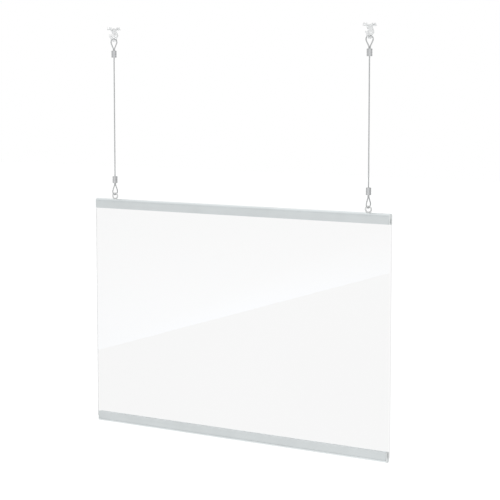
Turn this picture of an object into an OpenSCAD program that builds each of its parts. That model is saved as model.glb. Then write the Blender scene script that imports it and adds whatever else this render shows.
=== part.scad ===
// Hanging sneeze guard: a clear sheet held between two snap rails, hung by two wire ropes from ceiling grid clips.
// X runs along the rails, Y from front to rear, Z up. The origin is the seat face of the left ceiling clip.

/* [Panel] */
// Width of the clear sheet
sheet_w = 914.4; // [880:0.2:1200]
// Thickness of the clear sheet
sheet_t = 2; // [1.5:0.1:3]
// Height from the top of the top rail to the bottom of the bottom rail
panel_h = 606; // [300:1:900]

/* [Rails] */
// How far the top rail stays short of the sheet at each end
top_inset = 2.2; // [0:0.1:20]
// How far the bottom rail stays short of the sheet at each end
bottom_inset = 5.2; // [0:0.1:20]
// Height of a rail
rail_h = 26; // [24:0.5:40]
// Depth of a rail from front to rear
rail_d = 12; // [12:0.5:16]
// Thickness of the profile's walls
rail_wall = 1.2; // [1:0.1:1.4]
// Radius of the two long outer edges of a rail
rail_round = 5.5; // [3:0.1:5.6]
// Width of the slot's mouth
slot_mouth = 4.4; // [4.4:0.1:5]
// Width of the slot inside
slot_w = 7.2; // [6.8:0.1:7.6]
// Height of the slot inside
slot_h = 2.8; // [2.4:0.1:4]
// Thickness of the metal on both sides of the slot's mouth
slot_lip = 2; // [1.8:0.1:2.6]
// Diameter of the bead that a cover swings on
bead_d = 3.2; // [3:0.1:3.6]
// Running clearance round the bead
bead_gap = 0.05; // [0.03:0.01:0.08]
// How far a cover swings open, in degrees
cover_swing = 60; // [40:1:70]
// Height of the upturned edges that carry the grip strips
clamp_h = 5; // [4:0.5:7]
// Thickness of a grip strip
grip_t = 0.8; // [0.5:0.1:1.2]
// Thickness of an end cap
cap_t = 2; // [1.5:0.1:3]
// Length of the pegs that hold an end cap
cap_peg = 6; // [4:0.5:10]

/* [Ropes] */
// Distance from a rope to the end of the sheet
rope_inset = 65.2; // [60:0.2:200]
// Height of the clip seats above the top rail
hang_h = 450; // [250:1:1500]
// Diameter of the wire rope
rope_d = 3.2; // [2.4:0.1:3.4]
// Outer width of a rope loop
loop_w = 22.8; // [20:0.2:25]
// Height of a rope loop from its ferrule to its outer end
loop_h = 32.6; // [30:0.2:45]
// Length of the straight neck where both strands lie side by side
loop_neck = 3; // [2:0.5:6]
// Bend radius where the strands part
loop_flare = 8; // [6:0.5:10]
// Length of the straight at the end of a loop
loop_flat = 2; // [1:0.2:3]
// Length of a crimped ferrule
ferrule_l = 18.3; // [14:0.1:22]
// Width of a ferrule across both strands
ferrule_w = 14; // [11:0.1:15]
// Depth of a ferrule
ferrule_d = 12; // [9:0.1:12.5]
// How deep the crimp marks of a ferrule are
crimp_deep = 0.5; // [0.2:0.1:0.8]
// Clearance between a rope's end and its ferrule
rope_gap = 0.3; // [0.2:0.05:0.4]

/* [Ring eyes] */
// Bar diameter of a ring eye
ring_bar = 4; // [3.6:0.1:4]
// Outer height of the ring
ring_h = 18; // [17:0.2:24]
// Length of the straight at the top of the ring
ring_flat = 2; // [1:0.2:4]
// Height of the ring's top above the rail
ring_top = 17; // [16.5:0.25:24]
// Length of the foot that slides in the rail
foot_l = 18; // [12:0.5:30]
// Clearance between linked rings, loops and hooks
link_gap = 0.3; // [0.2:0.05:0.4]

/* [Ceiling clips] */
// Width of the ceiling bar's flange
flange_w = 23.8; // [23:0.1:25.4]
// Thickness of the ceiling bar's flange, with its clearance
flange_t = 1.4; // [1:0.1:2]
// Length of the seat plate along the ceiling bar
seat_l = 22; // [18:0.5:30]
// Thickness of the seat plate
seat_t = 4; // [3:0.5:5]
// Thickness of the lips over the flange
lip_t = 1.6; // [1.2:0.1:2.4]
// Thickness of the walls beside the flange
lip_wall = 2.7; // [2:0.1:4]
// How far a lip reaches over the flange
lip_reach = 3.4; // [2.5:0.1:5]
// Height from the seat face to the rope in the hook
hook_drop = 26.7; // [25:0.1:40]
// Radius inside the hook
hook_r = 5; // [4:0.1:5.5]
// Thickness of the hook's bar
hook_t = 6; // [4:0.1:6.5]
// Width of the hook's bar
hook_w = 7.4; // [6.6:0.1:7.8]
// Length of the hook's flared front leg
hook_leg = 11; // [6:0.5:12]
// Width of the stem's blade
stem_w = 13; // [10:0.5:18]
// Thickness of the stem where it leaves the seat plate
stem_t = 8; // [6:0.5:10]

/* [Hidden] */
$fn = 64;

rope_r = rope_d / 2;
rope_span = sheet_w - 2 * rope_inset;
top_rail_len = sheet_w - 2 * top_inset;
bottom_rail_len = sheet_w - 2 * bottom_inset;
ring_r = ring_bar / 2;
mid_x = rope_span / 2;
slack = 0.3;
hair = 0.02;
bend_lap = 0.3;

// Rail profile, with z = 0 at the slot's face
head_h = slot_lip + slot_h + rail_wall;
bead_r = bead_d / 2;
bead_y = bead_r - rail_d / 2;
bead_z = -head_h - bead_r - bead_gap;
socket_r = bead_r + bead_gap + rail_wall;
clamp_y = sheet_t / 2 + grip_t;
stop_z = bead_z - socket_r;
sheet_edge = stop_z - rail_wall - slack;
grip_h = clamp_h - 1;

// Heights of the hanging parts
rail_top = -hang_h;
rail_bottom = rail_top - panel_h;
ring_bar_z = rail_top + ring_top - ring_r;
ring_arc = ring_h / 2 - ring_r;
lower_rope_z = ring_bar_z - ring_r - link_gap - rope_r;
lower_ferrule_z = lower_rope_z + loop_h - rope_r;
lower_mouth_z = lower_ferrule_z + ferrule_l;
upper_ferrule_z = -hook_drop - loop_h + rope_r;
upper_mouth_z = upper_ferrule_z - ferrule_l;

// Path of a loop's strand, measured up from the ferrule: s is half the strand spacing, and the line that leaves the
// flare at the angle loop_lean touches the end arc
strand_s = rope_r + 0.15;
strand_gap = 0.05;
ferrule_web = 1.2;
arc_r = loop_w / 2 - rope_r - loop_flat / 2;
arc_h = loop_h - rope_r - arc_r;
lean_a = strand_s - loop_flat / 2 + loop_flare;
lean_b = arc_h - loop_neck;
loop_lean = atan2(lean_b, lean_a) - acos((arc_r + loop_flare) / norm([lean_a, lean_b]));
strand_in = ferrule_l - rope_r - rope_gap - ferrule_web;
flare_x = strand_s + loop_flare * (1 - cos(loop_lean));
flare_h = loop_neck + loop_flare * sin(loop_lean);
touch_x = loop_flat / 2 + arc_r * cos(loop_lean);
touch_h = arc_h - arc_r * sin(loop_lean);

// Ceiling clip
flange_gap = 0.4;
lip_root = flange_w / 2 + flange_gap;
plate_w = 2 * (lip_root + lip_wall);
hook_z = -hook_drop - rope_r - link_gap + hook_r;
hook_mid = hook_r + hook_t / 2;
hook_end = 215;
stem_over = 0.2;
window_gap = 0.2;
window_lap = 0.1;

// Runs a flat profile drawn as (y, z) along X from x0
module along_x(x0, len) {
    translate([x0, 0, 0])
        rotate([90, 0, 90])
            linear_extrude(height = len)
                children();
}

// A flat rectangle between two corners
module box2(a, b) {
    translate([min(a[0], b[0]), min(a[1], b[1])])
        square([abs(b[0] - a[0]), abs(b[1] - a[1])]);
}

// A slab of a rail's outline with its two outer edges rounded
module rail_outline(depth) {
    half = rail_d / 2;
    box2([-half, -rail_round], [half, -depth]);
    box2([rail_round - half, 0], [half - rail_round, -depth]);
    for (side = [-1, 1])
        intersection() {
            translate([side * (half - rail_round), -rail_round])
                circle(r = rail_round);
            box2([-rail_d, 1], [rail_d, -rail_round - hair]);
        }
}

// The rail's main profile: slotted head, bead socket, rear wall, sheet stop and rear clamp edge
module body_profile() {
    half = rail_d / 2;
    open_dir = 180 - cover_swing;
    difference() {
        union() {
            rail_outline(head_h);
            box2([-half, -rail_round], [bead_y, bead_z]);
            box2([half - rail_wall, -rail_round], [half, -rail_h]);
            box2([-rail_wall, stop_z], [half, stop_z - rail_wall]);
            box2([clamp_y, rail_wall - rail_h], [half, -rail_h]);
            box2([clamp_y, clamp_h - rail_h], [clamp_y + rail_wall, -rail_h]);
            translate([bead_y, bead_z])
                circle(r = socket_r);
        }
        box2([-slot_mouth / 2, 1], [slot_mouth / 2, -slot_lip - 1]);
        box2([-slot_w / 2, -slot_lip], [slot_w / 2, -slot_lip - slot_h]);
        translate([bead_y, bead_z])
            circle(r = bead_r + bead_gap);
        // Room for the cover, shut and swung fully open
        box2([-rail_d, bead_z], [bead_y + rail_wall - bead_r + slack, stop_z - rail_wall]);
        translate([bead_y, bead_z])
            rotate(open_dir)
                square([bead_r + slack, rail_d]);
        box2([-rail_d, 0], [-half, -rail_h]);
    }
}

// The rail's cover: bead, flat front and front clamp edge
module cover_profile() {
    half = rail_d / 2;
    translate([bead_y, bead_z])
        circle(r = bead_r);
    box2([-half, bead_z], [rail_wall - half, -rail_h]);
    box2([-half, rail_wall - rail_h], [-clamp_y, -rail_h]);
    box2([-clamp_y - rail_wall, clamp_h - rail_h], [-clamp_y, -rail_h]);
}

module rail_body(len) {
    color([0.82, 0.84, 0.84])
        along_x(mid_x - len / 2 + cap_t, len - 2 * cap_t)
            body_profile();
}

module rail_cover(len) {
    color([0.82, 0.84, 0.84])
        along_x(mid_x - len / 2 + cap_t + slack, len - 2 * cap_t - 2 * slack)
            cover_profile();
}

// side is 1 for the rear strip and -1 for the front one
module rail_grip(len, side) {
    low = 0.5 - rail_h;
    color([0.62, 0.63, 0.64])
        along_x(mid_x - len / 2 + cap_t + slack, len - 2 * cap_t - 2 * slack)
            box2([side * sheet_t / 2, low], [side * clamp_y, low + grip_h]);
}

// End cap at the left end: outer plate with a notch for the sheet, and two pegs into the profile
module rail_cap(len) {
    left = mid_x - len / 2;
    half = rail_d / 2;
    peg_gap = 0.2;
    color([0.78, 0.8, 0.8]) {
        along_x(left, cap_t)
            difference() {
                rail_outline(rail_h);
                box2([-sheet_t / 2 - slack, sheet_edge + slack], [sheet_t / 2 + slack, -rail_h - 1]);
            }
        along_x(left, cap_t + cap_peg)
            box2([peg_gap - slot_w / 2, -slot_lip - peg_gap], [slot_w / 2 - peg_gap, peg_gap - slot_lip - slot_h]);
        along_x(left, cap_t + cap_peg)
            box2([clamp_y + rail_wall, sheet_edge - 1], [half - rail_wall - peg_gap, clamp_h + 1 - rail_h]);
    }
}

// Turns what is drawn for the top rail into the bottom rail
module at_bottom() {
    translate([0, 0, rail_bottom])
        mirror([0, 0, 1])
            children();
}

module at_top() {
    translate([0, 0, rail_top])
        children();
}

// Turns a left end into a right end
module at_right_end() {
    translate([2 * mid_x, 0, 0])
        mirror([1, 0, 0])
            children();
}

module clear_sheet() {
    high = rail_top + sheet_edge;
    low = rail_bottom - sheet_edge;
    color([0.93, 0.96, 0.97, 0.35])
        translate([mid_x - sheet_w / 2, -sheet_t / 2, low])
            cube([sheet_w, sheet_t, high - low]);
}

// A straight piece of wire of radius r from p, len long, in the direction a degrees from +X in the XY plane. It is a
// hair thinner than the bends, and its ends reach into them
module wire_straight(p, a, len, r) {
    translate([p[0], p[1], 0])
        rotate([0, 0, a])
            translate([-bend_lap, 0, 0])
                rotate([0, 90, 0])
                    cylinder(r = r - hair, h = len + 2 * bend_lap);
}

// A bent piece of wire about the centre c, from the angle a0 over the angle span
module wire_bend(c, bend_r, a0, span, r) {
    translate([c[0], c[1], 0])
        rotate([0, 0, a0])
            rotate_extrude(angle = span, $fn = 96)
                translate([bend_r, 0])
                    circle(r = r, $fn = 48);
}

// One half of a loop, in the XY plane with Y up from the ferrule's face
module half_loop() {
    straight = norm([touch_x - flare_x, touch_h - flare_h]);
    wire_straight([strand_s, bend_lap - strand_in], 90, strand_in + loop_neck - bend_lap, rope_r);
    wire_bend([strand_s + loop_flare, loop_neck], loop_flare, 180 - loop_lean, loop_lean, rope_r);
    wire_straight([flare_x, flare_h], 90 - loop_lean, straight, rope_r);
    wire_bend([loop_flat / 2, arc_h], arc_r, -loop_lean, 90 + loop_lean, rope_r);
    wire_straight([0, arc_h + arc_r], 0, loop_flat / 2, rope_r);
}

// A whole rope loop standing on a ferrule's face, in the XZ plane
module rope_loop() {
    color([0.66, 0.67, 0.68])
        rotate([90, 0, 0]) {
            half_loop();
            mirror([1, 0, 0])
                half_loop();
        }
}

module ferrule_section(trim) {
    r = ferrule_d / 2;
    for (side = [-1, 1])
        translate([side * (ferrule_w / 2 - r), 0])
            circle(r = r - trim);
    box2([r - ferrule_w / 2, trim - r], [ferrule_w / 2 - r, r - trim]);
}

// A crimped ferrule below its loop: two strands enter at the top, one rope leaves at the bottom
module ferrule() {
    band = (ferrule_l - 2) / 3;
    mouth = rope_r + rope_gap;
    color([0.7, 0.71, 0.72])
        translate([0, 0, -ferrule_l])
            difference() {
                union() {
                    linear_extrude(height = ferrule_l)
                        ferrule_section(crimp_deep);
                    for (i = [0 : 2])
                        translate([0, 0, i * (band + 1)])
                            linear_extrude(height = band)
                                ferrule_section(0);
                }
                sphere(r = mouth);
                for (side = [-1, 1])
                    translate([side * strand_s, 0, ferrule_l - strand_in])
                        cylinder(r = rope_r + strand_gap, h = strand_in + 1);
            }
}

// Places an upper end, whose loop hangs in the hook
module at_upper() {
    translate([0, 0, upper_ferrule_z])
        children();
}

// Places a lower end upside down, with its loop across the rail
module at_lower() {
    translate([0, 0, lower_ferrule_z])
        rotate([180, 0, 90])
            children();
}

// The straight rope between two ferrules, with a ball end in each mouth
module rope_run() {
    color([0.66, 0.67, 0.68]) {
        translate([0, 0, lower_mouth_z])
            cylinder(r = rope_r, h = upper_mouth_z - lower_mouth_z);
        translate([0, 0, lower_mouth_z])
            sphere(r = rope_r);
        translate([0, 0, upper_mouth_z])
            sphere(r = rope_r);
    }
}

// A ring on a neck and a foot that slides in the rail's slot
module ring_eye() {
    run = 0.1;
    foot_top = -slot_lip - run;
    ring_mid = ring_top - ring_h / 2;
    color([0.75, 0.76, 0.77])
        translate([0, 0, rail_top]) {
            translate([0, 0, ring_mid])
                rotate([90, 0, 0])
                    for (turn = [0, 180])
                        rotate([0, 0, turn]) {
                            wire_bend([ring_flat / 2, 0], ring_arc, -90, 180, ring_r);
                            wire_straight([-ring_flat / 2, ring_arc], 0, ring_flat, ring_r);
                        }
            translate([-4, 0.2 - slot_mouth / 2, foot_top - 0.5])
                cube([8, slot_mouth - 0.4, ring_mid - ring_arc - foot_top + 0.5]);
            translate([-foot_l / 2, slack - slot_w / 2, slack - slot_lip - slot_h])
                cube([foot_l, slot_w - 2 * slack, slot_h - slack - run]);
        }
}

// Section of the hook's bar, with rounded sides
module hook_section(trim) {
    r = hook_t / 2;
    for (side = [-1, 1])
        translate([0, side * (hook_w / 2 - r)])
            circle(r = r - trim, $fn = 48);
    box2([trim - r, r - hook_w / 2], [r - trim, hook_w / 2 - r]);
}

// Side view of the stem: a blade that leans back from the seat plate and thins towards the hook
module stem_side() {
    root = stem_t / 2;
    front = hook_r - stem_over;
    rear = hook_r + hook_t + stem_over;
    polygon([[-root, 1 - seat_t], [root, 1 - seat_t], [root + 0.5, -seat_t - 4], [rear - 0.8, hook_z + 7],
             [rear, hook_z + 4], [rear, hook_z], [front, hook_z], [front, hook_z + 6], [-root, -seat_t - 1.5]]);
}

// Front view of the stem: as wide as its blade, and drawn in only where it meets the hook
module stem_front() {
    side = stem_w / 2;
    foot = hook_w / 2 + stem_over;
    polygon([[-side, 0], [side, 0], [side, hook_z + 4], [foot, hook_z], [-foot, hook_z], [-side, hook_z + 4]]);
}

// A clear ceiling clip: seat plate, two corner lips, stem and open hook
module ceiling_clip() {
    half = plate_w / 2;
    corner = 2;
    lip_l = seat_l / 2 - corner;
    lip_end = flange_w / 2 - lip_reach;
    color([0.9, 0.92, 0.93, 0.6]) {
        translate([0, 0, -seat_t])
            linear_extrude(height = seat_t)
                difference() {
                    union() {
                        box2([-seat_l / 2 + corner, -half], [seat_l / 2 - corner, half]);
                        box2([-seat_l / 2, -half + corner], [seat_l / 2, half - corner]);
                        for (x = [-1, 1], y = [-1, 1])
                            translate([x * (seat_l / 2 - corner), y * (half - corner)])
                                circle(r = corner);
                    }
                    // Window under each lip, where the mould's core comes through
                    for (turn = [0, 180])
                        rotate(turn)
                            box2([-window_gap, lip_end - window_gap], [lip_l + window_gap, lip_root + window_lap]);
                }
        for (turn = [0, 180])
            rotate([0, 0, turn]) {
                translate([0, lip_root, -1])
                    cube([lip_l, lip_wall, flange_t + lip_t + 1]);
                translate([0, lip_end, flange_t])
                    cube([lip_l, lip_root + lip_wall - lip_end, lip_t]);
            }
        intersection() {
            along_x(-seat_l / 2, seat_l)
                stem_side();
            rotate([90, 0, 0])
                translate([0, 0, -half])
                    linear_extrude(height = plate_w)
                        stem_front();
        }
        translate([0, 0, hook_z])
            rotate([90, 0, 90]) {
                rotate([0, 0, hook_end])
                    rotate_extrude(angle = 370 - hook_end, $fn = 96)
                        translate([hook_mid, 0])
                            hook_section(0);
                rotate([0, 0, hook_end])
                    translate([hook_mid, bend_lap, 0])
                        rotate([90, 0, 0])
                            linear_extrude(height = hook_leg + bend_lap)
                                hook_section(hair);
                rotate([0, 0, hook_end])
                    translate([hook_mid, -hook_leg, 0.5 - hook_w / 2])
                        cylinder(r = hook_t / 2 + 0.3, h = hook_w - 1);
            }
    }
}

module at_right() {
    translate([rope_span, 0, 0])
        children();
}

ceiling_clip();  // left_clip
at_right() ceiling_clip();  // right_clip
at_upper() rope_loop();  // left_upper_loop
at_right() at_upper() rope_loop();  // right_upper_loop
at_upper() ferrule();  // left_upper_ferrule
at_right() at_upper() ferrule();  // right_upper_ferrule
rope_run();  // left_run
at_right() rope_run();  // right_run
at_lower() ferrule();  // left_lower_ferrule
at_right() at_lower() ferrule();  // right_lower_ferrule
at_lower() rope_loop();  // left_lower_loop
at_right() at_lower() rope_loop();  // right_lower_loop
ring_eye();  // left_eye
at_right() ring_eye();  // right_eye
at_top() rail_body(top_rail_len);  // top_rail_body
at_top() rail_cover(top_rail_len);  // top_rail_cover
at_top() rail_grip(top_rail_len, 1);  // top_rail_rear_grip
at_top() rail_grip(top_rail_len, -1);  // top_rail_front_grip
at_top() rail_cap(top_rail_len);  // top_rail_left_cap
at_top() at_right_end() rail_cap(top_rail_len);  // top_rail_right_cap
clear_sheet();
at_bottom() rail_body(bottom_rail_len);  // bottom_rail_body
at_bottom() rail_cover(bottom_rail_len);  // bottom_rail_cover
at_bottom() rail_grip(bottom_rail_len, 1);  // bottom_rail_rear_grip
at_bottom() rail_grip(bottom_rail_len, -1);  // bottom_rail_front_grip
at_bottom() rail_cap(bottom_rail_len);  // bottom_rail_left_cap
at_bottom() at_right_end() rail_cap(bottom_rail_len);  // bottom_rail_right_cap
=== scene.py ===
import math
import bpy
import bmesh
import numpy as np
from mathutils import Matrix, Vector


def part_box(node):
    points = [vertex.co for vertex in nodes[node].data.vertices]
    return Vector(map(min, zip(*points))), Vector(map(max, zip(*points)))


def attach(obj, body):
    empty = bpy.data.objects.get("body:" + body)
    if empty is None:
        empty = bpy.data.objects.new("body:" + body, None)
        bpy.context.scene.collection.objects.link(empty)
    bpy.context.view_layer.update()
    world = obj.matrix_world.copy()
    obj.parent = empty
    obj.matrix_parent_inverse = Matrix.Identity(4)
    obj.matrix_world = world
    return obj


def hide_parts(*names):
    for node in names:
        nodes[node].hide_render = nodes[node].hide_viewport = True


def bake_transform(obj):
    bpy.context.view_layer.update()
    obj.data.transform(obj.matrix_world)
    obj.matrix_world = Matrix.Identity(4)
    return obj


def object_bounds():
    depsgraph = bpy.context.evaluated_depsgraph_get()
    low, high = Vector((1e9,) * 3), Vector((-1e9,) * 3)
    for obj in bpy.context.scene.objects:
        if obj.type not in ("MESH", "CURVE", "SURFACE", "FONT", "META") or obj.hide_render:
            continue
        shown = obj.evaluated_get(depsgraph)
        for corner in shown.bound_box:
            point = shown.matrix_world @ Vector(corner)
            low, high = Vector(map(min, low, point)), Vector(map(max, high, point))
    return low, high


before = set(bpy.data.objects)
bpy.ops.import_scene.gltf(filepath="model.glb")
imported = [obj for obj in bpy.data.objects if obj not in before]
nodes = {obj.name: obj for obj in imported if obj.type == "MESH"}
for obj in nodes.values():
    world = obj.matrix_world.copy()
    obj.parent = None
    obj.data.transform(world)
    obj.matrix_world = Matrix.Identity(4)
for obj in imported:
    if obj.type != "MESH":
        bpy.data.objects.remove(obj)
cadLow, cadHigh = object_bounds()  # straight after loading, this is the CAD model's box
mm = 0.001
print("frame loaded with", len(nodes), "CAD nodes")

scene = bpy.context.scene
scene.view_settings.view_transform = "Standard"

# Camera, fitted to the photograph's rails, sheet edges and ropes
view = {
    "place": (2.8823, -3.5297, -0.1106),  # metres, in the part's own frame
    "round": 34.709,  # degrees to the right of straight in front
    "down": 5.993,  # degrees below the horizon
    "lens": 122.9,  # mm
    "sensor": 36,  # mm wide
    "reach": 100,  # metres to the farthest point that it shows
}


def addObject(name, data):
    # an object in the scene that holds a mesh, a lamp or a camera
    added = bpy.data.objects.new(name, data)
    scene.collection.objects.link(added)
    return added


def makeCamera():
    data = bpy.data.cameras.new("camera")
    data.sensor_width = view["sensor"]
    data.lens = view["lens"]
    data.clip_end = view["reach"]
    camera = addObject("camera", data)
    camera.location = view["place"]
    camera.rotation_euler = (math.radians(90 - view["down"]), 0, math.radians(view["round"]))
    scene.camera = camera


makeCamera()
print("camera made")


def linear(hexColour):
    # sRGB to linear: up to 0.04045 divide by 12.92, above it add 0.055, divide by 1.055 and raise to 2.4
    parts = np.array([int(hexColour[i:i + 2], 16) for i in (1, 3, 5)]) / 255
    curved = ((parts + 0.055) / 1.055) ** 2.4
    return (*np.where(parts <= 0.04045, parts / 12.92, curved).tolist(), 1.0)


def addNode(tree, kind, inputs=None, **settings):
    # a node with its settings; an input that is another node's output is linked, anything else is its value
    node = tree.nodes.new(kind)
    for name, value in settings.items():
        setattr(node, name, value)
    for socket, value in (inputs or {}).items():
        if isinstance(value, bpy.types.NodeSocket):
            tree.links.new(value, node.inputs[socket])
        else:
            node.inputs[socket].default_value = value
    return node


def newMaterial(name, **values):
    # values are the sockets that are the same all over the surface, with _ for a space in a socket's name;
    # place is the point that a pattern reads
    material = bpy.data.materials.new(name)
    material.use_nodes = True
    tree = material.node_tree
    shader = tree.nodes["Principled BSDF"]
    for socket, value in values.items():
        shader.inputs[socket.replace("_", " ")].default_value = value
    place = addNode(tree, "ShaderNodeTexCoord").outputs["Object"]
    return material, tree, shader, place


def dressSurface(tree, shader, finish, tone, relief, wear=None):
    # tone, from 0 to 1, leads from the finish's dark colour to its light one, wear from its first roughness
    # to its second, and relief is the bump's height; without wear the shader's own roughness stays
    colour = addNode(tree, "ShaderNodeMix", {0: tone, 6: linear(finish["dark"]), 7: linear(finish["light"])},
                     data_type="RGBA").outputs[2]
    tree.links.new(colour, shader.inputs["Base Color"])
    if wear is not None:
        low, high = finish["roughness"]
        rough = addNode(tree, "ShaderNodeMapRange", {0: wear, 3: low, 4: high})
        tree.links.new(rough.outputs[0], shader.inputs["Roughness"])
    strength, height = finish["bump"]
    bump = addNode(tree, "ShaderNodeBump", {"Height": relief, "Strength": strength, "Distance": height})
    tree.links.new(bump.outputs[0], shader.inputs["Normal"])
    return colour


# Rail profile: extruded 6063 aluminium, etched satin and anodised clear, so it has an even soft sheen with
# faint die lines along its length
railFinish = {
    "light": "#F2F7F8",
    "dark": "#EBF0F1",
    "roughness": (0.34, 0.42),
    "bump": (0.25, 0.01 * mm),  # strength and height, here and in the other finishes
    "lineSpacing": 0.5 * mm,  # real die lines are about 0.05 mm apart, drawn coarser so that they show
    "lineLength": 300 * mm,
    "lineRange": (0.3, 0.7),  # the noise's values that get the first and the second roughness
    "cloud": 60 * mm,
    "toneRange": (0.12, 0.4),  # the values of lines times cloud that get the dark and the light colour
}


def satinAnodisedAluminium(finish):
    material, tree, shader, place = newMaterial("satin_anodised_aluminium", Metallic=1.0)
    across = 1 / finish["lineSpacing"]
    stretched = addNode(tree, "ShaderNodeMapping",
                        {"Vector": place, "Scale": (1 / finish["lineLength"], across, across)})
    lines = addNode(tree, "ShaderNodeTexNoise", {"Vector": stretched.outputs[0], "Scale": 1, "Detail": 3})
    cloud = addNode(tree, "ShaderNodeTexNoise", {"Vector": place, "Scale": 1 / finish["cloud"], "Detail": 2})
    mixed = addNode(tree, "ShaderNodeMath", {0: lines.outputs[0], 1: cloud.outputs[0]}, operation="MULTIPLY")
    low, high = finish["toneRange"]
    tone = addNode(tree, "ShaderNodeMapRange", {0: mixed.outputs[0], 1: low, 2: high})
    low, high = finish["lineRange"]
    wear = addNode(tree, "ShaderNodeMapRange", {0: lines.outputs[0], 1: low, 2: high})
    dressSurface(tree, shader, finish, tone.outputs[0], lines.outputs[0], wear.outputs[0])
    return material


# End caps: ABS moulded in a spark-eroded tool, which leaves a fine matt grain
capFinish = {
    "light": "#F0F3F3",
    "dark": "#E9EDED",
    "roughness": (0.42, 0.56),
    "bump": (0.4, 0.03 * mm),
    "grain": 0.5 * mm,
    "cloud": 6 * mm,
}


def mouldedAbs(finish):
    material, tree, shader, place = newMaterial("moulded_abs", IOR=1.52)
    grain = addNode(tree, "ShaderNodeTexVoronoi", {"Vector": place, "Scale": 1 / finish["grain"]})
    cloud = addNode(tree, "ShaderNodeTexNoise", {"Vector": place, "Scale": 1 / finish["cloud"], "Detail": 4})
    dressSurface(tree, shader, finish, cloud.outputs[0], grain.outputs[0], cloud.outputs[0])
    return material


# Grip strips: soft extruded PVC, matt and a little dusty
gripFinish = {
    "light": "#A9ACAE",
    "dark": "#94989A",
    "roughness": (0.6, 0.8),
    "bump": (0.3, 0.04 * mm),
    "dust": 1.5 * mm,
}


def softPvcStrip(finish):
    material, tree, shader, place = newMaterial("soft_pvc_strip", IOR=1.53)
    dust = addNode(tree, "ShaderNodeTexNoise", {"Vector": place, "Scale": 1 / finish["dust"], "Detail": 5})
    dressSurface(tree, shader, finish, dust.outputs[0], dust.outputs[0], dust.outputs[0])
    return material


# Sheet: cast acrylic, polished and water clear, with a very faint long wave from the casting glass
sheetFinish = {
    "light": "#FCFCFC",
    "dark": "#FBFBFB",
    "bump": (1, 0.004 * mm),
    "wave": 350 * mm,
}


def clearAcrylic(finish):
    material, tree, shader, place = newMaterial("clear_cast_acrylic", Roughness=0.0, IOR=1.491,
                                                Transmission_Weight=1.0)
    wave = addNode(tree, "ShaderNodeTexNoise", {"Vector": place, "Scale": 1 / finish["wave"], "Detail": 0})
    dressSurface(tree, shader, finish, wave.outputs[0], wave.outputs[0])
    return material


# The sheet's edges: cut and flame polished, and pale, because light that runs inside the sheet leaves here
edgeFinish = {
    "light": "#FEFEFE",
    "dark": "#F8F9F9",
    "roughness": (0.12, 0.24),
    "bump": (0.3, 0.05 * mm),
    "ripple": 5 * mm,  # spacing of the marks that the flame leaves
}


def polishedEdge(finish):
    material, tree, shader, place = newMaterial("polished_acrylic_edge", IOR=1.491)
    ripple = addNode(tree, "ShaderNodeTexNoise",
                     {"Vector": place, "Scale": 1 / finish["ripple"], "Detail": 2})
    dressSurface(tree, shader, finish, ripple.outputs[0], ripple.outputs[0], ripple.outputs[0])
    return material


# Ceiling clips: clear polycarbonate, injection moulded, a little milky from handling, with slight flow marks
# and painted shade along the outline
clipFinish = {
    "light": "#FAFAFA",
    "dark": "#F3F4F4",
    "outlineShade": "#CFD2D3",  # painted shade along the outline, where the eye looks along a wall, through the most plastic
    "outlineShadeBlend": 0.35,
    "roughness": (0.4, 0.5),
    "bump": (0.1, 0.1 * mm),
    "through": 0.72,  # how much of the light passes; the rest is scattered inside
    "bend": 1.1,  # IOR; 1.585 on the real plastic, matched to its pale look in front of a bright room
    "flow": 7 * mm,
}


def clearPolycarbonate(finish):
    material, tree, shader, place = newMaterial("clear_polycarbonate", IOR=finish["bend"],
                                                Transmission_Weight=finish["through"])
    flow = addNode(tree, "ShaderNodeTexNoise", {"Vector": place, "Scale": 1 / finish["flow"], "Detail": 3})
    body = dressSurface(tree, shader, finish, flow.outputs[0], flow.outputs[0], flow.outputs[0])
    # painted shade: the colour goes grey where the surface turns away from the eye
    facing = addNode(tree, "ShaderNodeLayerWeight", {"Blend": finish["outlineShadeBlend"]}).outputs["Facing"]
    shadedOutline = addNode(tree, "ShaderNodeMix", {0: facing, 6: body, 7: linear(finish["outlineShade"])}, data_type="RGBA")
    tree.links.new(shadedOutline.outputs[2], shader.inputs["Base Color"])
    return material


# Wire rope: galvanised steel, six strands of fine wires round a seventh, grey zinc with painted shade in the
# grooves between wires
ropeFinish = {
    "light": "#E8E9E9",
    "dark": "#C6C8C9",
    "groove": 0.2,  # the least that a groove keeps of the way from dark to light, so the grooves get painted shade
    "roughness": (0.3, 0.5),
    "bump": (0.8, 0.08 * mm),
    "wires": 30,  # wires seen round the rope; in an ordinary lay they run straight along it
    "zinc": 1.2 * mm,
}


def galvanisedRope(finish):
    material, tree, shader, place = newMaterial("galvanised_wire_rope", Metallic=1.0)
    lay = addNode(tree, "ShaderNodeUVMap", uv_map="lay").outputs[0]
    around = addNode(tree, "ShaderNodeSeparateXYZ", {0: lay}).outputs[0]
    turns = addNode(tree, "ShaderNodeMath", {0: around, 1: 2 * math.pi * finish["wires"]},
                    operation="MULTIPLY")
    crest = addNode(tree, "ShaderNodeMath", {0: turns.outputs[0]}, operation="SINE")
    height = addNode(tree, "ShaderNodeMapRange", {0: crest.outputs[0], 1: -1, 2: 1})
    zinc = addNode(tree, "ShaderNodeTexNoise", {"Vector": place, "Scale": 1 / finish["zinc"], "Detail": 4})
    # painted shade: tone falls to the groove's share between the wires, and the zinc's mottle shows only on
    # their crests
    tone = addNode(tree, "ShaderNodeMath", {0: zinc.outputs[0], 1: height.outputs[0], 2: finish["groove"]},
                   operation="MULTIPLY_ADD")
    dressSurface(tree, shader, finish, tone.outputs[0], height.outputs[0], zinc.outputs[0])
    return material


# Ferrules: soft aluminium sleeve pressed in a die, dull with short scuffs
ferruleFinish = {
    "light": "#E0E1E2",
    "dark": "#C3C5C6",
    "roughness": (0.28, 0.5),
    "bump": (0.5, 0.05 * mm),
    "scuff": 0.7 * mm,
    "scuffLength": 4,  # times its width
    "toneRange": (0.3, 0.7),
}


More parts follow.
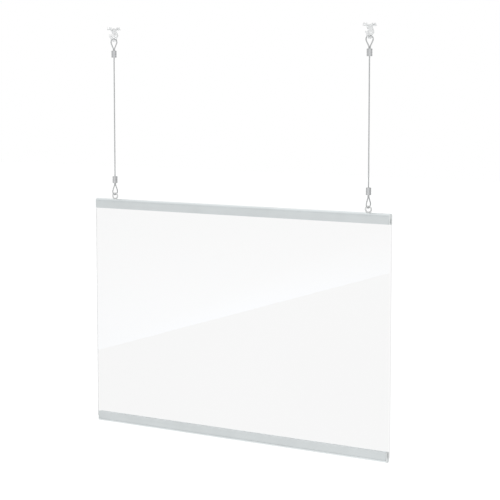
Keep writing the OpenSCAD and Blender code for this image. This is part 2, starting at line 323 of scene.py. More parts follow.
def pressedAluminium(finish):
    material, tree, shader, place = newMaterial("pressed_aluminium", Metallic=1.0)
    stretched = addNode(tree, "ShaderNodeMapping",
                        {"Vector": place, "Scale": (1, 1, 1 / finish["scuffLength"])})
    scuff = addNode(tree, "ShaderNodeTexNoise",
                    {"Vector": stretched.outputs[0], "Scale": 1 / finish["scuff"], "Detail": 5})
    low, high = finish["toneRange"]
    tone = addNode(tree, "ShaderNodeMapRange", {0: scuff.outputs[0], 1: low, 2: high})
    dressSurface(tree, shader, finish, tone.outputs[0], scuff.outputs[0], scuff.outputs[0])
    return material


# Ring eyes: die-cast zinc, tumbled and bright nickel plated, so it is glossy over a slightly uneven skin
ringFinish = {
    "light": "#EEEEEE",
    "dark": "#E0E1E1",
    "roughness": (0.14, 0.26),
    "bump": (0.3, 0.05 * mm),
    "skin": 2.5 * mm,
}


def nickelPlatedZinc(finish):
    material, tree, shader, place = newMaterial("nickel_plated_zinc", Metallic=1.0)
    skin = addNode(tree, "ShaderNodeTexNoise", {"Vector": place, "Scale": 1 / finish["skin"], "Detail": 3})
    dressSurface(tree, shader, finish, skin.outputs[0], skin.outputs[0], skin.outputs[0])
    return material


materials = {
    "rail": satinAnodisedAluminium(railFinish),
    "cap": mouldedAbs(capFinish),
    "grip": softPvcStrip(gripFinish),
    "sheet": clearAcrylic(sheetFinish),
    "edge": polishedEdge(edgeFinish),
    "clip": clearPolycarbonate(clipFinish),
    "rope": galvanisedRope(ropeFinish),
    "ferrule": pressedAluminium(ferruleFinish),
    "ring": nickelPlatedZinc(ringFinish),
}
print("materials made:", ", ".join(materials))


def newPiece(name, points, faces, material, sharp=30, flats=False):
    # closed mesh with outward faces, smooth but for edges that turn by more than sharp degrees; with flats,
    # a large face keeps its own normal beside the narrow ones of an eased edge
    mesh = bpy.data.meshes.new(name)
    mesh.from_pydata(points, [], faces)
    skin = bmesh.new()
    skin.from_mesh(mesh)
    bmesh.ops.recalc_face_normals(skin, faces=skin.faces)
    skin.to_mesh(mesh)
    skin.free()
    mesh.shade_smooth()
    mesh.set_sharp_from_angle(angle=math.radians(sharp))
    mesh.materials.append(materials[material])
    piece = addObject(name, mesh)
    if flats:
        weighted = piece.modifiers.new("flats", "WEIGHTED_NORMAL")
        weighted.keep_sharp = True
        weighted.weight = 100  # the larger face sets the normal alone
    return piece


def rideAs(piece, body, slotName, *replaced):
    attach(piece, body)
    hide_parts(*replaced)


def ringFaces(rings, count, first=0):
    # quads between neighbouring rings of count points, and one face over each end
    ring, step = np.meshgrid(np.arange(rings - 1), np.arange(count), indexing="ij")
    following = (step + 1) % count
    corners = np.stack([ring * count + step, ring * count + following,
                        (ring + 1) * count + following, (ring + 1) * count + step], -1)
    lids = [np.arange(count)[::-1], np.arange(count) + (rings - 1) * count]
    return (corners.reshape(-1, 4) + first).tolist() + [(lid + first).tolist() for lid in lids]


def joinShells(shells):
    # several grids of rings as the points and faces of one mesh
    points, faces, first = [], [], 0
    for grid in shells:
        rings, count = grid.shape[:2]
        points.append(grid.reshape(-1, 3))
        faces += ringFaces(rings, count, first)
        first += rings * count
    return np.concatenate(points), faces


def arc(centre, radius, start, end, steps=12):
    # the centre plus radius times (cos a, sin a), with a in even steps from start to end degrees
    turn = np.radians(np.linspace(start, end, steps + 1))
    return np.asarray(centre) + radius * np.stack([np.cos(turn), np.sin(turn)], -1)


# Eased corners of the outlines
easing = {
    "steps": 4,
    "sharp": 25,  # degrees; a corner that turns by less stays as it is
    "mostCut": 0.45,  # the most that a curve takes of the shorter side beside its corner
}


def easeCorners(outline, radius):
    # a sharp corner becomes a short curve: the point before it times (1-t) squared, plus the corner times
    # 2t(1-t), plus the point after it times t squared
    steps = easing["steps"]
    before, after = np.roll(outline, 1, 0) - outline, np.roll(outline, -1, 0) - outline
    farBefore = np.linalg.norm(before, axis=1, keepdims=True)
    farAfter = np.linalg.norm(after, axis=1, keepdims=True)
    straight = -(before * after).sum(1, keepdims=True) / (farBefore * farAfter)
    turn = np.arccos(np.clip(straight, -1, 1))
    cut = np.minimum(radius * np.tan(turn / 2), easing["mostCut"] * np.minimum(farBefore, farAfter))
    t = np.linspace(0, 1, steps + 1)[None, :, None]
    curve = ((1 - t) ** 2 * (outline + before / farBefore * cut)[:, None]
             + 2 * t * (1 - t) * outline[:, None]
             + t ** 2 * (outline + after / farAfter * cut)[:, None])
    sharp = turn[:, 0] > math.radians(easing["sharp"])
    curve[~sharp] = outline[~sharp][:, None]
    return curve[sharp[:, None] | (np.arange(steps + 1) == steps // 2)[None]]


def alongX(outline, stations):
    # a flat outline of (y, z) points repeated at each x
    grid = np.empty((len(stations), len(outline), 3))
    grid[:, :, 0] = np.asarray(stations)[:, None]
    grid[:, :, 1:] = outline
    return grid


# Wire rope, sizes in mm
rope = {
    "diameter": 3.2,
    "lay": 21,  # length in which a strand goes once round, 6.5 diameters
    "strands": 6,
    "pointsPerStrand": 8,
    "ringStep": 0.7,
    "inMouth": 4,  # how far a run goes into its ferrule
    "bendLength": 26,  # length over which a run bends beside its ferrule
    "bendInside": 3,  # how far into the ferrule the bend ends
}


def ropeSection():
    # each strand shows the outer two thirds of its circle, whose centre lies two strand radii from the axis
    strand = rope["diameter"] / 2 / 3
    seen = np.radians(np.linspace(-120, 120, rope["pointsPerStrand"] + 1)[:-1])
    out, side = 2 * strand + strand * np.cos(seen), strand * np.sin(seen)
    radius, offset = np.hypot(out, side), np.arctan2(side, out)
    starts = np.arange(rope["strands"]) * 2 * math.pi / rope["strands"]
    return np.tile(radius, rope["strands"]), (starts[:, None] + offset[None]).ravel()


def strandedRope(name, path, across, aside, distance):
    # each ring turns with the lay: the point is the path plus across times r cos(a + 2 pi s / lay) plus
    # aside times r sin(a + 2 pi s / lay), with s the distance along the rope; the lay map holds that turn
    # and s
    radius, angle = ropeSection()
    twist = 2 * math.pi * distance / rope["lay"]
    turned = angle[None] + twist[:, None]
    grid = (path[:, None]
            + across[:, None] * (radius * np.cos(turned))[..., None]
            + aside[:, None] * (radius * np.sin(turned))[..., None])
    rings, count = turned.shape
    piece = newPiece(name, grid.reshape(-1, 3) * mm, ringFaces(rings, count), "rope", sharp=80)
    mesh = piece.data
    corner = np.empty(len(mesh.loops), int)
    mesh.loops.foreach_get("vertex_index", corner)
    first = np.empty(len(mesh.polygons), int)
    total = np.empty(len(mesh.polygons), int)
    mesh.polygons.foreach_get("loop_start", first)
    mesh.polygons.foreach_get("loop_total", total)
    step, ring = corner % count, corner // count
    face = np.repeat(np.arange(len(first)), total)
    highest = np.maximum.reduceat(step, first)[face]
    lowest = np.minimum.reduceat(step, first)[face]
    # where a face leads from a ring's last point to its first, the first counts as a full turn on
    wraps = (highest == count - 1) & (lowest == 0) & (step == 0) & (total[face] == 4)
    around = np.where(wraps, 2 * math.pi, 0) + angle[step]
    lay = np.stack([(around + twist[ring]) / (2 * math.pi), distance[ring] * mm], -1)
    mesh.uv_layers.new(name="lay").data.foreach_set("uv", lay.astype(np.float32).ravel())
    return piece


def ropeHalf(name, x, low, high, startDistance):
    # a straight stretch of a run from low up to high
    rings = round((high - low) / rope["ringStep"]) + 1
    z = np.linspace(low, high, rings)
    path = np.stack([np.full(rings, x), np.zeros(rings), z], -1)
    across = np.tile([1.0, 0, 0], (rings, 1))
    aside = np.tile([0, 1.0, 0], (rings, 1))
    return strandedRope(name, path, across, aside, z - low + startDistance), path * mm


# Rope loops, sizes in mm
loop = {
    "width": 22.8,
    "height": 32.6,
    "neck": 3,
    "flare": 8,  # bend radius where the two strands part
    "flat": 2,
    "strandSpacing": 3.5,
    "inFerrule": 12,
}


def loopPath():
    # the curvature is constant on each stretch, so the heading is a running sum of turns along the rope, and
    # the point is the running sum of the heading's direction
    ropeR = rope["diameter"] / 2
    endR = loop["width"] / 2 - ropeR - loop["flat"] / 2
    endHigh = loop["height"] - ropeR - endR
    outward = loop["strandSpacing"] / 2 - loop["flat"] / 2 + loop["flare"]
    upward = endHigh - loop["neck"]
    apart = math.hypot(outward, upward)
    lean = math.atan2(upward, outward) - math.acos((endR + loop["flare"]) / apart)
    straight = math.sqrt(apart ** 2 - (endR + loop["flare"]) ** 2)
    leg = [(loop["inFerrule"] + loop["neck"], 0), (loop["flare"] * lean, lean), (straight, 0),
           (endR * (math.pi / 2 + lean), -math.pi / 2 - lean)]
    stretches = np.array(leg + [(loop["flat"], 0)] + leg[::-1])
    ends = np.concatenate([[0], np.cumsum(stretches[:, 0])])
    turns = math.pi / 2 + np.concatenate([[0], np.cumsum(stretches[:, 1])])
    distance = np.linspace(0, ends[-1], round(ends[-1] / rope["ringStep"]) + 1)
    heading = np.interp(distance, ends, turns)
    middle = np.interp((distance[1:] + distance[:-1]) / 2, ends, turns)
    steps = np.stack([np.cos(middle), np.sin(middle)], -1) * np.diff(distance)[:, None]
    start = np.array([-loop["strandSpacing"] / 2, -loop["inFerrule"]])
    return start + np.concatenate([[[0, 0]], np.cumsum(steps, 0)]), heading, distance


def ropeLoop(name, face, sideways, upwards):
    # the flat loop set up on a ferrule's face, in the plane of the sideways and upwards directions
    flat, heading, distance = loopPath()
    sideways, upwards = np.array(sideways, float), np.array(upwards, float)
    path = np.array(face) + flat[:, :1] * sideways + flat[:, 1:] * upwards
    across = -np.sin(heading)[:, None] * sideways + np.cos(heading)[:, None] * upwards
    aside = np.tile(np.cross(upwards, sideways), (len(path), 1))
    return strandedRope(name, path, across, aside, distance)


# Crimped ferrules, sizes in mm
ferrule = {
    "width": 14,
    "depth": 12,
    "length": 18.3,
    "bands": 3,
    "groove": 1.0,  # from a groove's middle to its side
    "grooveDeep": 0.5,
    "endRound": 0.9,
    "flash": 0.22,  # height of the thin ridge that the die leaves along both narrow sides
    "flashWidth": 0.09,  # of that ridge, as the sine of the angle round the ferrule
    "bore": ((2.7, 0), (2.2, 0.4), (1.85, 1.4), (1.85, 6)),  # radius of the run's bore at each depth
    "pointsRound": 72,
    "ringsAlong": 81,
    "ringsInRound": 7,
}


def crimpedFerrule(name, face, sideways, away):
    # rings of an oval outline from the strands' end to the run's end, then in to the bore: the radius falls
    # by a cosine dip at each groove and by a quarter circle at each end, and at the angle a round the
    # ferrule it rises by flash times exp(-(sin a / flashWidth) squared), a ridge on each narrow side
    size, length, ending = ferrule, ferrule["length"], ferrule["endRound"]
    ends = np.linspace(0, ending, size["ringsInRound"])
    between = np.linspace(ending, length - ending, size["ringsAlong"])[1:-1]
    along = np.concatenate([ends, between, length - ends[::-1]])
    fromEnd = np.clip(np.minimum(along, length - along), 0, ending)
    rounding = ending - np.sqrt(ending ** 2 - (ending - fromEnd) ** 2)
    pitch = (length + size["groove"]) / size["bands"]
    offset = (along + size["groove"] / 2) % pitch
    offset = np.minimum(offset, pitch - offset)
    grooved = (along > pitch / 2) & (along < length - pitch / 2) & (offset < size["groove"])
    dip = np.where(grooved, 0.5 + 0.5 * np.cos(math.pi * offset / size["groove"]), 0)
    angle = (np.arange(size["pointsRound"]) * 2 + 1) * math.pi / size["pointsRound"]
    ridge = np.exp(-((np.abs(np.sin(angle)) / size["flashWidth"]) ** 2))
    radius = ((size["depth"] / 2 - rounding - size["grooveDeep"] * dip)[:, None]
              + (size["flash"] * (1 - dip) * fromEnd / ending)[:, None] * ridge[None])
    halfFlat = (size["width"] - size["depth"]) / 2
    oval = np.stack([radius * np.cos(angle) + halfFlat * np.sign(np.cos(angle)), radius * np.sin(angle),
                     np.repeat(along[:, None], len(angle), 1)], -1)
    boreR, boreDeep = np.array(size["bore"]).T
    bore = np.stack([boreR[:, None] * np.cos(angle), boreR[:, None] * np.sin(angle),
                     np.repeat((length - boreDeep)[:, None], len(angle), 1)], -1)
    grid = np.concatenate([oval, bore])
    sideways, away = np.array(sideways, float), np.array(away, float)
    points = np.array(face) + grid @ np.stack([sideways, np.cross(away, sideways), away])
    return newPiece(name, points.reshape(-1, 3) * mm, ringFaces(*grid.shape[:2]), "ferrule", sharp=40)


def makeSuspension(side):
    # from the hook down: loop, ferrule, run in two straight halves, ferrule, loop
    upperLow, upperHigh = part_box(side + "_upper_ferrule")
    lowerLow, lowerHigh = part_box(side + "_lower_ferrule")
    x = (upperLow.x + upperHigh.x) / 2 / mm
    topFace, topMouth = upperHigh.z / mm, upperLow.z / mm
    lowMouth, lowFace = lowerHigh.z / mm, lowerLow.z / mm
    middle = (topMouth + lowMouth) / 2
    lowEnd, highEnd = lowMouth - rope["inMouth"], topMouth + rope["inMouth"]
    lowerHalf, lowerPath = ropeHalf(side + "_rope_lower_half", x, lowEnd, middle, 0)
    upperHalf, upperPath = ropeHalf(side + "_rope_upper_half", x, middle, highEnd, middle - lowEnd)
    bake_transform(lowerHalf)
    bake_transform(upperHalf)
    for run, path, end in ((upperHalf, upperPath[::-1], highEnd), (lowerHalf, lowerPath, lowEnd)):
        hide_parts(side + "_run")
    # the upper loop lies across the hook and the lower one across the ring, a quarter turn apart
    endings = ((side + "_upper", topFace, (1, 0, 0), 1), (side + "_lower", lowFace, (0, 1, 0), -1))
    for ending, face, sideways, up in endings:
        bight = ropeLoop(ending + "_rope_loop", (x, 0, face), sideways, (0, 0, up))
        rideAs(bight, ending + "_end", "rope_steel", ending + "_loop")
    for ending, face, sideways, up in endings:
        sleeve = crimpedFerrule(ending + "_crimped_ferrule", (x, 0, face), sideways, (0, 0, -up))
        rideAs(sleeve, ending + "_end", "ferrule_metal", ending + "_ferrule")


for side in ("left", "right"):
    makeSuspension(side)
print("ropes, loops and ferrules made")


# Moulded clips and cast ring eyes: the solid's skin drawn again at an even step and smoothed, which gives it
# the small radii of a mould
casting = {
    "clip": (0.34 * mm, 9),  # the step, and how many times the skin is smoothed
    "ring": (0.24 * mm, 7),
    "pull": 0.5,  # how far each smoothing takes a point to the middle of its neighbours
    "same": 0.001 * mm,  # points of the solid that are closer are one
}


def softenedCopy(name, node, kind):
    step, passes = casting[kind]
    mesh = nodes[node].data.copy()
    skin = bmesh.new()
    skin.from_mesh(mesh)
    bmesh.ops.remove_doubles(skin, verts=skin.verts, dist=casting["same"])
    skin.to_mesh(mesh)
    skin.free()
    rough = addObject(name + "_rough", mesh)
    remesh = rough.modifiers.new("even", "REMESH")
    remesh.mode = "VOXEL"
    remesh.voxel_size = step
    smooth = rough.modifiers.new("soft", "SMOOTH")
    smooth.factor = casting["pull"]
    smooth.iterations = passes
    finished = bpy.data.meshes.new_from_object(rough.evaluated_get(bpy.context.evaluated_depsgraph_get()))
    bpy.data.objects.remove(rough)
    finished.name = name
    finished.shade_smooth()
    finished.materials.clear()
    finished.materials.append(materials[kind])
    return addObject(name, finished)


for side in ("left", "right"):
    clip = softenedCopy(side + "_moulded_clip", side + "_clip", "clip")
    rideAs(clip, "ceiling_clips", "clip_plastic", side + "_clip")
    eye = softenedCopy(side + "_cast_ring_eye", side + "_eye", "ring")
    rideAs(eye, side + "_ring", "eye_steel", side + "_eye")
print("clips and ring eyes made")


# Rail profile, sizes in mm, with y from the sheet's middle and z from the slot's face
rail = {
    "depth": 12,
    "height": 26,
    "wall": 1.2,
    "round": 5.5,  # radius of the two long outer edges
    "slotMouth": 4.4,
    "slotWidth": 7.2,
    "slotLip": 2,  # thickness of the metal beside the mouth
    "slotHeight": 2.8,
    "beadRadius": 1.6,
    "beadGap": 0.05,  # running clearance round the bead
    "beadSteps": 20,
    "coverSwing": 60,  # degrees
    "slack": 0.3,  # clearance of a cover as it opens, and of the sheet from its stop and the caps
    "clampHeight": 5,  # of the upturned edges that carry the grips
    "grip": 0.8,  # thickness of a grip strip
    "sheet": 2,  # thickness of the sheet
    "edge": 0.3,  # radius of the small edges
}
halfDepth = rail["depth"] / 2
headHigh = rail["slotLip"] + rail["slotHeight"] + rail["wall"]  # of the head that holds the slot
beadR = rail["beadRadius"]
bead = np.array([beadR - halfDepth, -headHigh - beadR - rail["beadGap"]])  # its middle, as (y, z)
socketR = beadR + rail["beadGap"] + rail["wall"]  # outer radius
clampY = rail["sheet"] / 2 + rail["grip"]  # where the clamp edges face the sheet
clampTop = rail["clampHeight"] - rail["height"]
stopZ = bead[1] - socketR  # upper face of the stop that the sheet's edge comes to
sheetEdge = stopZ - rail["wall"] - rail["slack"]


def bodyOutline():
    # from the slot's front lip down the front, round the bead's socket, down the rear wall, up to the slot
    wall, high, mouth, slotY = rail["wall"], rail["height"], rail["slotMouth"] / 2, rail["slotWidth"] / 2
    inner = halfDepth - rail["round"]
    lipAngle = math.degrees(math.acos((mouth - inner) / rail["round"]))
    boreR = beadR + rail["beadGap"]
    openAngle = 180 - rail["coverSwing"]
    outwards = np.array([math.cos(math.radians(openAngle)), math.sin(math.radians(openAngle))])
    forwards = np.array([-outwards[1], outwards[0]])
    roomCorner = bead + (beadR + rail["slack"]) * outwards
    frontPoint = roomCorner + forwards * (-halfDepth - roomCorner[0]) / forwards[0]
    roomY = bead[0] + wall - beadR + rail["slack"]
    boreEnd = -math.degrees(math.acos((roomY - bead[0]) / boreR))
    socketStart = -math.degrees(math.acos((roomY - bead[0]) / socketR))
    socketEnd = math.degrees(math.asin((-headHigh - bead[1]) / socketR))
    rear = halfDepth - wall
    slotTop, slotLow = -rail["slotLip"], -rail["slotLip"] - rail["slotHeight"]
    return np.concatenate([
        arc((-inner, -rail["round"]), rail["round"], 180 - lipAngle, 180),
        [frontPoint, roomCorner],
        arc(bead, boreR, openAngle, boreEnd, rail["beadSteps"]),
        arc(bead, socketR, socketStart, socketEnd, rail["beadSteps"]),
        [(rear, -headHigh), (rear, stopZ), (-wall, stopZ), (-wall, stopZ - wall), (rear, stopZ - wall),
         (rear, wall - high), (clampY + wall, wall - high), (clampY + wall, clampTop), (clampY, clampTop),
         (clampY, -high), (halfDepth, -high)],
        arc((inner, -rail["round"]), rail["round"], 0, lipAngle),
        [(mouth, slotTop), (slotY, slotTop), (slotY, slotLow), (-slotY, slotLow), (-slotY, slotTop),
         (-mouth, slotTop)],
    ])


def coverOutline():
    # over the bead, down inside the front plate, up and over the clamp edge, and back along the outside
    wall, high = rail["wall"], rail["height"]
    beadEnd = -math.degrees(math.acos((wall - beadR) / beadR))
    return np.concatenate([
        arc(bead, beadR, 180, beadEnd, rail["beadSteps"]),
        [(wall - halfDepth, wall - high), (-clampY - wall, wall - high), (-clampY - wall, clampTop),
         (-clampY, clampTop), (-clampY, -high), (-halfDepth, -high)],
    ])


def capOutline():
    # the rail's outer outline, with the notch that the sheet stands in
    inner, notch = halfDepth - rail["round"], rail["sheet"] / 2 + rail["slack"]
    notchTop = sheetEdge + rail["slack"]
    return np.concatenate([
        arc((-inner, -rail["round"]), rail["round"], 90, 180),
        [(-halfDepth, -rail["height"]), (-notch, -rail["height"]), (-notch, notchTop), (notch, notchTop),
         (notch, -rail["height"]), (halfDepth, -rail["height"])],
        arc((inner, -rail["round"]), rail["round"], 0, 90),
    ])


def placed(outline, level, upright):
    # the profile's (y, z) with its zero at the given level; the bottom rail is the same profile upside down
    return np.stack([outline[:, 0], level + (outline[:, 1] if upright else -outline[:, 1])], -1)


def boxOutline(y0, y1, z0, z1):
    # the four corners of a rectangle
    return np.array([(y0, z0), (y1, z0), (y1, z1), (y0, z1)])


# End caps, sizes in mm
cap = {
    "thickness": 2,
    "peg": 6,
    "pegStart": 1,  # from the plate's outer face to where a peg begins
    "pegGap": 0.2,
    "pegShort": 1,  # how far the rear peg ends from the levels of the sheet's edge and the clamp edge
    "edge": 0.45,
    "edgeSteps": 3,
    "edgeTurn": 60,  # degrees; edges that turn by more are eased
}


def makeCap(name, x, inwards, level, upright):
    # the plate and both pegs are straight stretches of an outline with eased corners; a bevel eases the ends
    slotY, pegGap, pegShort = rail["slotWidth"] / 2, cap["pegGap"], cap["pegShort"]
    plate = placed(easeCorners(capOutline(), cap["edge"]), level, upright)
    slotPeg = boxOutline(pegGap - slotY, slotY - pegGap, -rail["slotLip"] - pegGap,
                         pegGap - rail["slotLip"] - rail["slotHeight"])
    rearPeg = boxOutline(clampY + rail["wall"], halfDepth - rail["wall"] - pegGap, sheetEdge - pegShort,
                         clampTop + pegShort)
    shells = [alongX(plate, (x, x + inwards * cap["thickness"]))]
    for peg in (slotPeg, rearPeg):
        outline = placed(easeCorners(peg, cap["edge"]), level, upright)
        stations = x + inwards * np.array([cap["pegStart"], cap["thickness"] + cap["peg"]])
        shells.append(alongX(outline, stations))
    points, faces = joinShells(shells)
    piece = newPiece(name, points * mm, faces, "cap")
    bevel = piece.modifiers.new("eased", "BEVEL")
    bevel.width = cap["edge"] * mm
    bevel.segments = cap["edgeSteps"]
    bevel.limit_method = "ANGLE"
    bevel.angle_limit = math.radians(cap["edgeTurn"])
    bevel.harden_normals = True
    return piece


def makeRail(place, coverBody):
    body, cover = place + "_rail_body", place + "_rail_cover"
    low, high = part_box(body)
    coverLow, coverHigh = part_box(cover)
    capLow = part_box(place + "_rail_left_cap")[0]
    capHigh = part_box(place + "_rail_right_cap")[1]
    upright = place == "top"
    # the slot takes the crown off the profile, so its zero is worked out from the side that holds the sheet
    level = low.z / mm + rail["height"] if upright else high.z / mm - rail["height"]
    for node, outline, start, end, carrier in ((body, bodyOutline(), low.x, high.x, "panel"),
                                               (cover, coverOutline(), coverLow.x, coverHigh.x, coverBody)):
        grid = alongX(placed(easeCorners(outline, rail["edge"]), level, upright), (start / mm, end / mm))
        piece = newPiece(node.replace("_rail", "_extruded_rail"), grid.reshape(-1, 3) * mm,
                         ringFaces(*grid.shape[:2]), "rail", flats=True)
        rideAs(piece, carrier, "rail_aluminium", node)
    for side, x, inwards in (("left", capLow.x / mm, 1), ("right", capHigh.x / mm, -1)):
        piece = makeCap(f"{place}_{side}_moulded_cap", x, inwards, level, upright)
        rideAs(piece, "panel", "cap_plastic", f"{place}_rail_{side}_cap")
    for strip in ("rear", "front"):
        grip = nodes[f"{place}_rail_{strip}_grip"]
        grip.data.materials.clear()
        grip.data.materials.append(materials["grip"])


makeRail("top", "top_cover")
makeRail("bottom", "bottom_cover")
print("rails, caps and grips made")


# Sheet, sizes in mm
sheet = {
    "corner": 1.0,
    "cornerSteps": 6,
    "polish": 0.3,  # radius of the polished edges
    "polishSteps": 4,
    "flat": 0.99,  # a face whose normal lies more than this along y is clear, the others are polished edge
}


def roundedRectangle(x0, x1, z0, z1, radius, inset):
    # four quarter circles about the corners' centres, drawn in by inset
    corners = ((x1 - radius, z1 - radius, 0), (x0 + radius, z1 - radius, 90),
               (x0 + radius, z0 + radius, 180), (x1 - radius, z0 + radius, 270))
    return np.concatenate([arc((x, z), radius - inset, start, start + 90, sheet["cornerSteps"])
                           for x, z, start in corners])


def makeSheet():
    # rings of one outline from the front face to the rear one, drawn in by a quarter circle at both edges
    low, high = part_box("clear_sheet")
    x0, x1, z0, z1 = low.x / mm, high.x / mm, low.z / mm, high.z / mm
    front, rear = low.y / mm, high.y / mm
    turn = np.radians(np.linspace(0, 90, sheet["polishSteps"] + 1))
    inset = sheet["polish"] * (1 - np.sin(turn))
    deep = sheet["polish"] * (1 - np.cos(turn))
    levels = np.concatenate([front + deep, (rear - deep)[::-1]])
    insets = np.concatenate([inset, inset[::-1]])
    flat = np.stack([roundedRectangle(x0, x1, z0, z1, sheet["corner"], i) for i in insets])
    grid = np.stack([flat[..., 0], np.repeat(levels[:, None], flat.shape[1], 1), flat[..., 1]], -1)
    piece = newPiece("clear_acrylic_sheet", grid.reshape(-1, 3) * mm, ringFaces(*grid.shape[:2]), "sheet",
                     sharp=50, flats=True)
    piece.data.materials.append(materials["edge"])
    for face in piece.data.polygons:
        face.material_index = 0 if abs(face.normal.y) > sheet["flat"] else 1
    rideAs(piece, "panel", "sheet_acrylic", "clear_sheet")


makeSheet()
print("sheet made")


# Studio: white all round, a soft lamp above, and the light card that the sheet mirrors
studio = {
    "white": "#FFFFFF",
    "ambient": 0.78,  # strength of the white that lights surfaces; the camera sees it at 1
    "keyPlace": (-0.4, -2.2, 1.5),  # metres
    "keySize": 2.4,  # metres
    "keyPower": 26,  # watts
    "floorPaint": "#F2F3F3",
    "floorReach": 20,  # metres
    "floorDrop": 0.75,  # metres from the bottom rail to the floor
    "floorLift": 0.36,  # strength of the floor's own glow, which only the camera sees
    "cardAway": 1.75,  # metres from the sheet to the card
    "cardNear": ("#D1E5FF", 1.8),  # colour and strength of the card's glow at its lower edge
    "cardFar": ("#FFFFFF", 0.38),  # and at its upper edge
    "cardDark": ("#FFFFFF", 0.13),  # and all over the dark card below it
    "sideFall": 0.32,  # share of the glow that is lost at the card's sides
    "fade": 1.4,  # power by which the card's glow fades from its lower edge
    # Grey flags that metal mirrors: the direction of each from the object, and how much light it takes
    "flags": (((0.82, 0.57, 0), 0.42), ((-0.9, -0.43, 0), 0.3)),
    "flagWidth": 2,  # how many times a flag is wider than tall
    "flagEdge": (0.1, 0.9),  # cosines of the angles from a flag's middle at which it begins and is full
}


def clearTree(owner):
    # the emptied node tree of a world or a material
    owner.use_nodes = True
    owner.node_tree.nodes.clear()
    return owner.node_tree


def rayKinds(tree, *names):
    # 1 where a ray is of any of these kinds
    path = addNode(tree, "ShaderNodeLightPath")
    total = path.outputs[names[0]]
    for name in names[1:]:
        most = addNode(tree, "ShaderNodeMath", {0: total, 1: path.outputs[name]}, operation="MAXIMUM")
        total = most.outputs[0]
    return total


def makeWorld():
    # what a mirrored ray sees is 1 less what each flag takes, which grows by a smooth step of the cosine
    # between the ray and the flag's middle
    world = bpy.data.worlds.new("studio")
    tree = clearTree(world)
    seen = rayKinds(tree, "Is Camera Ray", "Is Transmission Ray")
    plain = addNode(tree, "ShaderNodeMapRange", {0: seen, 3: studio["ambient"], 4: 1.0}).outputs[0]
    direction = addNode(tree, "ShaderNodeTexCoord").outputs["Generated"]
    raised = addNode(tree, "ShaderNodeVectorMath", {0: direction, 1: (1, 1, studio["flagWidth"])},
                     operation="MULTIPLY")
    steeper = addNode(tree, "ShaderNodeVectorMath", {0: raised.outputs[0]}, operation="NORMALIZE").outputs[0]
    begins, full = studio["flagEdge"]
    mirrored = 1.0
    for place, taken in studio["flags"]:
        near = addNode(tree, "ShaderNodeVectorMath", {0: steeper, 1: place}, operation="DOT_PRODUCT")
        shade = addNode(tree, "ShaderNodeMapRange",
                        {0: near.outputs["Value"], 1: begins, 2: full, 3: 0, 4: taken},
                        interpolation_type="SMOOTHSTEP")
        left = addNode(tree, "ShaderNodeMath", {0: mirrored, 1: shade.outputs[0]}, operation="SUBTRACT")
        mirrored = left.outputs[0]
    through = rayKinds(tree, "Is Transmission Ray")  # such a ray counts as glossy too
    mirror = addNode(tree, "ShaderNodeMath", {0: rayKinds(tree, "Is Glossy Ray"), 1: through},
                     operation="SUBTRACT", use_clamp=True)
    strength = addNode(tree, "ShaderNodeMix", {0: mirror.outputs[0], 2: plain, 3: mirrored})
    light = addNode(tree, "ShaderNodeBackground", {0: linear(studio["white"]), 1: strength.outputs[0]})
    addNode(tree, "ShaderNodeOutputWorld", {0: light.outputs[0]})
    scene.world = world


def makeFloor():
    # lit paint, which glows a little for the camera, and plain white for what looks through the sheet
    level, reach = cadLow.z - studio["floorDrop"], studio["floorReach"]
    mesh = bpy.data.meshes.new("floor")
    mesh.from_pydata([(-reach, -reach, level), (reach, -reach, level), (reach, reach, level),
                      (-reach, reach, level)], [], [(0, 1, 2, 3)])
    material = bpy.data.materials.new("pale_floor")
    tree = clearTree(material)
    white = linear(studio["white"])
    paint = addNode(tree, "ShaderNodeBsdfDiffuse", {0: linear(studio["floorPaint"])})
    lift = addNode(tree, "ShaderNodeMath", {0: rayKinds(tree, "Is Camera Ray"), 1: studio["floorLift"]},
                   operation="MULTIPLY")
    glow = addNode(tree, "ShaderNodeEmission", {0: white, 1: lift.outputs[0]})
    lit = addNode(tree, "ShaderNodeAddShader", {0: paint.outputs[0], 1: glow.outputs[0]})
    plain = addNode(tree, "ShaderNodeEmission", {0: white, 1: 1.0})
    both = addNode(tree, "ShaderNodeMixShader",
                   {0: rayKinds(tree, "Is Transmission Ray"), 1: lit.outputs[0], 2: plain.outputs[0]})
    addNode(tree, "ShaderNodeOutputMaterial", {0: both.outputs[0]})
    mesh.materials.append(material)
    floor = addObject("floor", mesh)
    floor.visible_glossy = False  # metal mirrors the studio's white and grey there


def makeKey():
    # a square lamp that faces the object's middle
    data = bpy.data.lights.new("key", "AREA")
    data.shape = "SQUARE"
    data.size = studio["keySize"]
    data.energy = studio["keyPower"]
    lamp = addObject("key", data)
    lamp.location = studio["keyPlace"]
    aim = (cadLow + cadHigh) / 2 - lamp.location
    lamp.rotation_euler = aim.to_track_quat("-Z", "Y").to_euler()
    lamp.visible_camera = False
    lamp.visible_glossy = False


# Where the sheet mirrors the card's lower edge, as (x, z) on the sheet in metres
mirrorEdge = {
    "left": (-0.0645, -0.8642),
    "right": (0.8454, -0.5923),
}


def onCard(x, z):
    # the camera's ray that meets the sheet at (x, z) goes on, mirrored, to this point of the card
    eyeX, eyeY, eyeZ = view["place"]
    share = studio["cardAway"] / -eyeY
    return (x + (x - eyeX) * share, -studio["cardAway"], z + (z - eyeZ) * share)


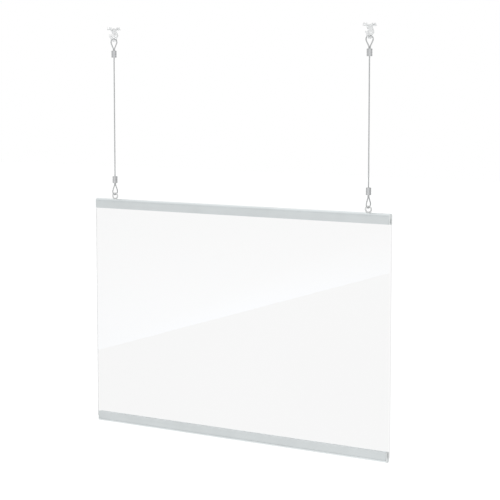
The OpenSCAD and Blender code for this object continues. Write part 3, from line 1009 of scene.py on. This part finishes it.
def makeCard(name, corners, near, far):
    # corners go round from the lower left; near and far are the glow's colour and strength at the lower and
    # the upper edge, mixed by (1 - v) to the power fade, and the strength falls off to the sides by
    # 1 - sideFall times (2u - 1) squared
    mesh = bpy.data.meshes.new(name)
    mesh.from_pydata([onCard(*corner) for corner in corners], [], [(0, 1, 2, 3)])
    mesh.uv_layers.new(name="glow").data.foreach_set("uv", (0, 0, 1, 0, 1, 1, 0, 1))
    material = bpy.data.materials.new(name)
    tree = clearTree(material)
    spot = addNode(tree, "ShaderNodeUVMap", uv_map="glow").outputs[0]
    parts = addNode(tree, "ShaderNodeSeparateXYZ", {0: spot})
    below = addNode(tree, "ShaderNodeMath", {0: 1, 1: parts.outputs[1]}, operation="SUBTRACT")
    share = addNode(tree, "ShaderNodeMath", {0: below.outputs[0], 1: studio["fade"]}, operation="POWER")
    level = addNode(tree, "ShaderNodeMapRange", {0: share.outputs[0], 3: far[1], 4: near[1]})
    offset = addNode(tree, "ShaderNodeMapRange", {0: parts.outputs[0], 3: -1, 4: 1})
    square = addNode(tree, "ShaderNodeMath", {0: offset.outputs[0], 1: 2}, operation="POWER")
    sides = addNode(tree, "ShaderNodeMath", {0: square.outputs[0], 1: -studio["sideFall"], 2: 1},
                    operation="MULTIPLY_ADD")
    strength = addNode(tree, "ShaderNodeMath", {0: level.outputs[0], 1: sides.outputs[0]},
                       operation="MULTIPLY")
    colour = addNode(tree, "ShaderNodeMix", {0: share.outputs[0], 6: linear(far[0]), 7: linear(near[0])},
                     data_type="RGBA")
    glow = addNode(tree, "ShaderNodeEmission", {0: colour.outputs[2], 1: strength.outputs[0]})
    nothing = addNode(tree, "ShaderNodeBsdfTransparent")
    polished = rayKinds(tree, "Is Singular Ray")  # only a mirror-smooth face, the sheet's, shows the card
    shown = addNode(tree, "ShaderNodeMixShader", {0: polished, 1: nothing.outputs[0], 2: glow.outputs[0]})
    addNode(tree, "ShaderNodeOutputMaterial", {0: shown.outputs[0]})
    material.cycles.emission_sampling = "NONE"
    mesh.materials.append(material)
    card = addObject(name, mesh)
    card.visible_camera = False
    card.visible_diffuse = False
    card.visible_transmission = False
    card.visible_shadow = False


makeWorld()
makeFloor()
makeKey()
(leftX, leftZ), (rightX, rightZ) = mirrorEdge["left"], mirrorEdge["right"]
sheetLow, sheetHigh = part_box("clear_sheet")
makeCard("light_card", [(leftX, leftZ), (rightX, rightZ), (rightX, sheetHigh.z), (leftX, sheetHigh.z)],
         studio["cardNear"], studio["cardFar"])
makeCard("dark_card", [(leftX, sheetLow.z), (rightX, sheetLow.z), (rightX, rightZ), (leftX, leftZ)],
         studio["cardDark"], studio["cardDark"])
print("studio made")
